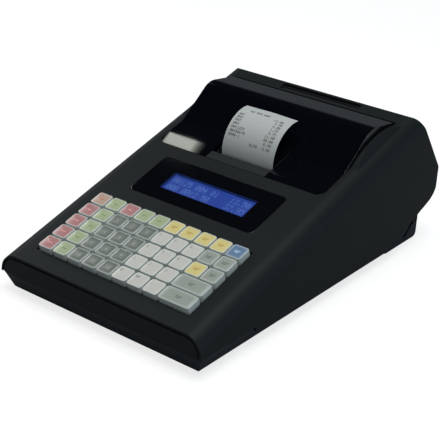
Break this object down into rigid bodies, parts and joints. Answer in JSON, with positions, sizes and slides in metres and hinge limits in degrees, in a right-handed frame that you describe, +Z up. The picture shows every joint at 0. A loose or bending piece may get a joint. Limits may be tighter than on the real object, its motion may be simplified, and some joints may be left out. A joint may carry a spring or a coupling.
{
  "type": "ticket register",
  "caption": "wedge-shaped counter register with sprung keys, a display window, a pop-up customer display and a receipt printer with paper roll under a hinged cover",
  "frame": {"origin": "centre of the footprint, on the counter", "axes": "+X to the operator's right, +Y from the operator to the rear, +Z up"},
  "size_m": [0.222, 0.365, 0.1345],
  "materials": {
    "case_black": "fine-textured, matte",
    "gloss_black": "polished",
    "smoked_window": "polished, smoked",
    "rubber_black": "matte",
    "paper": "thermal paper, matte",
    "frame_grey": "moulded",
    "board_green": "solder mask",
    "steel": "zinc-plated sheet",
    "key_salmon": "clear cap over a coloured insert",
    "key_green": "clear cap over a coloured insert",
    "key_pink": "clear cap over a coloured insert",
    "key_yellow": "clear cap over a coloured insert",
    "key_blue": "clear cap over a coloured insert",
    "key_grey": "clear cap over a grey insert",
    "key_white": "clear cap over a white insert",
    "key_pale": "clear cap over a pale grey-green insert"
  },
  "bodies": {
    "case": {"upper_case": "case_black", "lower_case": "case_black", "display_window": "smoked_window", "keyboard_base": "frame_grey", "circuit_boards": "board_green", "printer_mechanism": "steel", "feet_and_screws": "rubber_black"},
    "cover": {"printer_cover": "gloss_black", "receipt": "paper"},
    "platen": {"platen_roller": "rubber_black"},
    "roll": {"paper_roll": "paper"},
    "pop_up": {"customer_display": "case_black"},
    "key_row1_col1_body": {"key_row1_col1": "key_salmon"},
    "key_row1_col2_body": {"key_row1_col2": "key_green"},
    "key_row1_col3_body": {"key_row1_col3": "key_pink"},
    "key_row1_col4_body": {"key_row1_col4": "key_green"},
    "key_row1_col5_body": {"key_row1_col5": "key_green"},
    "key_row1_col6_body": {"key_row1_col6": "key_yellow"},
    "key_row1_col7_body": {"key_row1_col7": "key_yellow"},
    "key_row1_col8_body": {"key_row1_col8": "key_yellow"},
    "key_row1_col9_body": {"key_row1_col9": "key_yellow"},
    "key_row1_col10_body": {"key_row1_col10": "key_blue"},
    "key_row2_col1_body": {"key_row2_col1": "key_pink"},
    "key_row2_col2_body": {"key_row2_col2": "key_green"},
    "key_row2_col3_body": {"key_row2_col3": "key_grey"},
    "key_row2_col4_body": {"key_row2_col4": "key_grey"},
    "key_row2_col5_body": {"key_row2_col5": "key_grey"},
    "key_row2_col6_body": {"key_row2_col6": "key_white"},
    "key_row2_col7_body": {"key_row2_col7": "key_white"},
    "key_row2_col8_body": {"key_row2_col8": "key_white"},
    "key_row2_col9_body": {"key_row2_col9": "key_pale"},
    "key_row2_col10_body": {"key_row2_col10": "key_pale"},
    "key_row3_col1_body": {"key_row3_col1": "key_pink"},
    "key_row3_col2_body": {"key_row3_col2": "key_green"},
    "key_row3_col3_body": {"key_row3_col3": "key_grey"},
    "key_row3_col4_body": {"key_row3_col4": "key_grey"},
    "key_row3_col5_body": {"key_row3_col5": "key_grey"},
    "key_row3_col6_body": {"key_row3_col6": "key_white"},
    "key_row3_col7_body": {"key_row3_col7": "key_white"},
    "key_row3_col8_body": {"key_row3_col8": "key_white"},
    "key_row3_col9_body": {"key_row3_col9": "key_yellow"},
    "key_row3_col10_body": {"key_row3_col10": "key_pale"},
    "key_row4_col1_body": {"key_row4_col1": "key_pink"},
    "key_row4_col2_body": {"key_row4_col2": "key_green"},
    "key_row4_col3_body": {"key_row4_col3": "key_grey"},
    "key_row4_col4_body": {"key_row4_col4": "key_grey"},
    "key_row4_col5_body": {"key_row4_col5": "key_grey"},
    "key_row4_col6_body": {"key_row4_col6": "key_white"},
    "key_row4_col7_body": {"key_row4_col7": "key_white"},
    "key_row4_col8_body": {"key_row4_col8": "key_white"},
    "key_row4_col9_body": {"key_row4_col9": "key_pale"},
    "key_row5_col1_body": {"key_row5_col1": "key_pink"},
    "key_row5_col2_body": {"key_row5_col2": "key_green"},
    "key_row5_col3_body": {"key_row5_col3": "key_grey"},
    "key_row5_col4_body": {"key_row5_col4": "key_grey"},
    "key_row5_col5_body": {"key_row5_col5": "key_grey"},
    "key_row5_col6_body": {"key_row5_col6": "key_white"},
    "key_row5_col7_body": {"key_row5_col7": "key_white"},
    "key_row5_col8_body": {"key_row5_col8": "key_white"},
    "key_row5_col9_body": {"key_row5_col9": "key_pale"}
  },
  "joints": [
    {"name": "cover_hinge", "type": "hinge", "parent": "case", "child": "cover", "pos_m": [0, 0.10923, 0.12663], "axis": [-1, 0, 0], "range_deg": [0, 90]},
    {"name": "platen_spin", "type": "hinge", "parent": "cover", "child": "platen", "pos_m": [0, 0.02415, 0.08469], "axis": [1, 0, 0], "continuous": true},
    {"name": "roll_spin", "type": "hinge", "parent": "case", "child": "roll", "pos_m": [0.0019, 0.07737, 0.09804], "axis": [1, 0, 0], "continuous": true},
    {"name": "pop_up_slide", "type": "slide", "parent": "case", "child": "pop_up", "axis": [0, 0, 1], "range_m": [0, 0.038]},
    {"name": "key_row1_col1_press", "type": "slide", "parent": "case", "child": "key_row1_col1_body", "axis": [0, 0.2907, -0.9568], "range_m": [0, 0.003], "stiffness_N_per_m": 200, "springref_m": -0.001},
    {"name": "key_row1_col2_press", "type": "slide", "parent": "case", "child": "key_row1_col2_body", "axis": [0, 0.2907, -0.9568], "range_m": [0, 0.003], "stiffness_N_per_m": 200, "springref_m": -0.001},
    {"name": "key_row1_col3_press", "type": "slide", "parent": "case", "child": "key_row1_col3_body", "axis": [0, 0.2907, -0.9568], "range_m": [0, 0.003], "stiffness_N_per_m": 200, "springref_m": -0.001},
    {"name": "key_row1_col4_press", "type": "slide", "parent": "case", "child": "key_row1_col4_body", "axis": [0, 0.2907, -0.9568], "range_m": [0, 0.003], "stiffness_N_per_m": 200, "springref_m": -0.001},
    {"name": "key_row1_col5_press", "type": "slide", "parent": "case", "child": "key_row1_col5_body", "axis": [0, 0.2907, -0.9568], "range_m": [0, 0.003], "stiffness_N_per_m": 200, "springref_m": -0.001},
    {"name": "key_row1_col6_press", "type": "slide", "parent": "case", "child": "key_row1_col6_body", "axis": [0, 0.2907, -0.9568], "range_m": [0, 0.003], "stiffness_N_per_m": 200, "springref_m": -0.001},
    {"name": "key_row1_col7_press", "type": "slide", "parent": "case", "child": "key_row1_col7_body", "axis": [0, 0.2907, -0.9568], "range_m": [0, 0.003], "stiffness_N_per_m": 200, "springref_m": -0.001},
    {"name": "key_row1_col8_press", "type": "slide", "parent": "case", "child": "key_row1_col8_body", "axis": [0, 0.2907, -0.9568], "range_m": [0, 0.003], "stiffness_N_per_m": 200, "springref_m": -0.001},
    {"name": "key_row1_col9_press", "type": "slide", "parent": "case", "child": "key_row1_col9_body", "axis": [0, 0.2907, -0.9568], "range_m": [0, 0.003], "stiffness_N_per_m": 200, "springref_m": -0.001},
    {"name": "key_row1_col10_press", "type": "slide", "parent": "case", "child": "key_row1_col10_body", "axis": [0, 0.2907, -0.9568], "range_m": [0, 0.003], "stiffness_N_per_m": 200, "springref_m": -0.001},
    {"name": "key_row2_col1_press", "type": "slide", "parent": "case", "child": "key_row2_col1_body", "axis": [0, 0.2907, -0.9568], "range_m": [0, 0.003], "stiffness_N_per_m": 200, "springref_m": -0.001},
    {"name": "key_row2_col2_press", "type": "slide", "parent": "case", "child": "key_row2_col2_body", "axis": [0, 0.2907, -0.9568], "range_m": [0, 0.003], "stiffness_N_per_m": 200, "springref_m": -0.001},
    {"name": "key_row2_col3_press", "type": "slide", "parent": "case", "child": "key_row2_col3_body", "axis": [0, 0.2907, -0.9568], "range_m": [0, 0.003], "stiffness_N_per_m": 200, "springref_m": -0.001},
    {"name": "key_row2_col4_press", "type": "slide", "parent": "case", "child": "key_row2_col4_body", "axis": [0, 0.2907, -0.9568], "range_m": [0, 0.003], "stiffness_N_per_m": 200, "springref_m": -0.001},
    {"name": "key_row2_col5_press", "type": "slide", "parent": "case", "child": "key_row2_col5_body", "axis": [0, 0.2907, -0.9568], "range_m": [0, 0.003], "stiffness_N_per_m": 200, "springref_m": -0.001},
    {"name": "key_row2_col6_press", "type": "slide", "parent": "case", "child": "key_row2_col6_body", "axis": [0, 0.2907, -0.9568], "range_m": [0, 0.003], "stiffness_N_per_m": 200, "springref_m": -0.001},
    {"name": "key_row2_col7_press", "type": "slide", "parent": "case", "child": "key_row2_col7_body", "axis": [0, 0.2907, -0.9568], "range_m": [0, 0.003], "stiffness_N_per_m": 200, "springref_m": -0.001},
    {"name": "key_row2_col8_press", "type": "slide", "parent": "case", "child": "key_row2_col8_body", "axis": [0, 0.2907, -0.9568], "range_m": [0, 0.003], "stiffness_N_per_m": 200, "springref_m": -0.001},
    {"name": "key_row2_col9_press", "type": "slide", "parent": "case", "child": "key_row2_col9_body", "axis": [0, 0.2907, -0.9568], "range_m": [0, 0.003], "stiffness_N_per_m": 200, "springref_m": -0.001},
    {"name": "key_row2_col10_press", "type": "slide", "parent": "case", "child": "key_row2_col10_body", "axis": [0, 0.2907, -0.9568], "range_m": [0, 0.003], "stiffness_N_per_m": 200, "springref_m": -0.001},
    {"name": "key_row3_col1_press", "type": "slide", "parent": "case", "child": "key_row3_col1_body", "axis": [0, 0.2907, -0.9568], "range_m": [0, 0.003], "stiffness_N_per_m": 200, "springref_m": -0.001},
    {"name": "key_row3_col2_press", "type": "slide", "parent": "case", "child": "key_row3_col2_body", "axis": [0, 0.2907, -0.9568], "range_m": [0, 0.003], "stiffness_N_per_m": 200, "springref_m": -0.001},
    {"name": "key_row3_col3_press", "type": "slide", "parent": "case", "child": "key_row3_col3_body", "axis": [0, 0.2907, -0.9568], "range_m": [0, 0.003], "stiffness_N_per_m": 200, "springref_m": -0.001},
    {"name": "key_row3_col4_press", "type": "slide", "parent": "case", "child": "key_row3_col4_body", "axis": [0, 0.2907, -0.9568], "range_m": [0, 0.003], "stiffness_N_per_m": 200, "springref_m": -0.001},
    {"name": "key_row3_col5_press", "type": "slide", "parent": "case", "child": "key_row3_col5_body", "axis": [0, 0.2907, -0.9568], "range_m": [0, 0.003], "stiffness_N_per_m": 200, "springref_m": -0.001},
    {"name": "key_row3_col6_press", "type": "slide", "parent": "case", "child": "key_row3_col6_body", "axis": [0, 0.2907, -0.9568], "range_m": [0, 0.003], "stiffness_N_per_m": 200, "springref_m": -0.001},
    {"name": "key_row3_col7_press", "type": "slide", "parent": "case", "child": "key_row3_col7_body", "axis": [0, 0.2907, -0.9568], "range_m": [0, 0.003], "stiffness_N_per_m": 200, "springref_m": -0.001},
    {"name": "key_row3_col8_press", "type": "slide", "parent": "case", "child": "key_row3_col8_body", "axis": [0, 0.2907, -0.9568], "range_m": [0, 0.003], "stiffness_N_per_m": 200, "springref_m": -0.001},
    {"name": "key_row3_col9_press", "type": "slide", "parent": "case", "child": "key_row3_col9_body", "axis": [0, 0.2907, -0.9568], "range_m": [0, 0.003], "stiffness_N_per_m": 200, "springref_m": -0.001},
    {"name": "key_row3_col10_press", "type": "slide", "parent": "case", "child": "key_row3_col10_body", "axis": [0, 0.2907, -0.9568], "range_m": [0, 0.003], "stiffness_N_per_m": 200, "springref_m": -0.001},
    {"name": "key_row4_col1_press", "type": "slide", "parent": "case", "child": "key_row4_col1_body", "axis": [0, 0.2907, -0.9568], "range_m": [0, 0.003], "stiffness_N_per_m": 200, "springref_m": -0.001},
    {"name": "key_row4_col2_press", "type": "slide", "parent": "case", "child": "key_row4_col2_body", "axis": [0, 0.2907, -0.9568], "range_m": [0, 0.003], "stiffness_N_per_m": 200, "springref_m": -0.001},
    {"name": "key_row4_col3_press", "type": "slide", "parent": "case", "child": "key_row4_col3_body", "axis": [0, 0.2907, -0.9568], "range_m": [0, 0.003], "stiffness_N_per_m": 200, "springref_m": -0.001},
    {"name": "key_row4_col4_press", "type": "slide", "parent": "case", "child": "key_row4_col4_body", "axis": [0, 0.2907, -0.9568], "range_m": [0, 0.003], "stiffness_N_per_m": 200, "springref_m": -0.001},
    {"name": "key_row4_col5_press", "type": "slide", "parent": "case", "child": "key_row4_col5_body", "axis": [0, 0.2907, -0.9568], "range_m": [0, 0.003], "stiffness_N_per_m": 200, "springref_m": -0.001},
    {"name": "key_row4_col6_press", "type": "slide", "parent": "case", "child": "key_row4_col6_body", "axis": [0, 0.2907, -0.9568], "range_m": [0, 0.003], "stiffness_N_per_m": 200, "springref_m": -0.001},
    {"name": "key_row4_col7_press", "type": "slide", "parent": "case", "child": "key_row4_col7_body", "axis": [0, 0.2907, -0.9568], "range_m": [0, 0.003], "stiffness_N_per_m": 200, "springref_m": -0.001},
    {"name": "key_row4_col8_press", "type": "slide", "parent": "case", "child": "key_row4_col8_body", "axis": [0, 0.2907, -0.9568], "range_m": [0, 0.003], "stiffness_N_per_m": 200, "springref_m": -0.001},
    {"name": "key_row4_col9_press", "type": "slide", "parent": "case", "child": "key_row4_col9_body", "axis": [0, 0.2907, -0.9568], "range_m": [0, 0.003], "stiffness_N_per_m": 200, "springref_m": -0.001},
    {"name": "key_row5_col1_press", "type": "slide", "parent": "case", "child": "key_row5_col1_body", "axis": [0, 0.2907, -0.9568], "range_m": [0, 0.003], "stiffness_N_per_m": 200, "springref_m": -0.001},
    {"name": "key_row5_col2_press", "type": "slide", "parent": "case", "child": "key_row5_col2_body", "axis": [0, 0.2907, -0.9568], "range_m": [0, 0.003], "stiffness_N_per_m": 200, "springref_m": -0.001},
    {"name": "key_row5_col3_press", "type": "slide", "parent": "case", "child": "key_row5_col3_body", "axis": [0, 0.2907, -0.9568], "range_m": [0, 0.003], "stiffness_N_per_m": 200, "springref_m": -0.001},
    {"name": "key_row5_col4_press", "type": "slide", "parent": "case", "child": "key_row5_col4_body", "axis": [0, 0.2907, -0.9568], "range_m": [0, 0.003], "stiffness_N_per_m": 200, "springref_m": -0.001},
    {"name": "key_row5_col5_press", "type": "slide", "parent": "case", "child": "key_row5_col5_body", "axis": [0, 0.2907, -0.9568], "range_m": [0, 0.003], "stiffness_N_per_m": 200, "springref_m": -0.001},
    {"name": "key_row5_col6_press", "type": "slide", "parent": "case", "child": "key_row5_col6_body", "axis": [0, 0.2907, -0.9568], "range_m": [0, 0.003], "stiffness_N_per_m": 200, "springref_m": -0.001},
    {"name": "key_row5_col7_press", "type": "slide", "parent": "case", "child": "key_row5_col7_body", "axis": [0, 0.2907, -0.9568], "range_m": [0, 0.003], "stiffness_N_per_m": 200, "springref_m": -0.001},
    {"name": "key_row5_col8_press", "type": "slide", "parent": "case", "child": "key_row5_col8_body", "axis": [0, 0.2907, -0.9568], "range_m": [0, 0.003], "stiffness_N_per_m": 200, "springref_m": -0.001},
    {"name": "key_row5_col9_press", "type": "slide", "parent": "case", "child": "key_row5_col9_body", "axis": [0, 0.2907, -0.9568], "range_m": [0, 0.003], "stiffness_N_per_m": 200, "springref_m": -0.001}
  ],
  "couplings": [
    {"joint": "platen_spin", "follows": "roll_spin", "ratio": 4.4068}
  ]
}
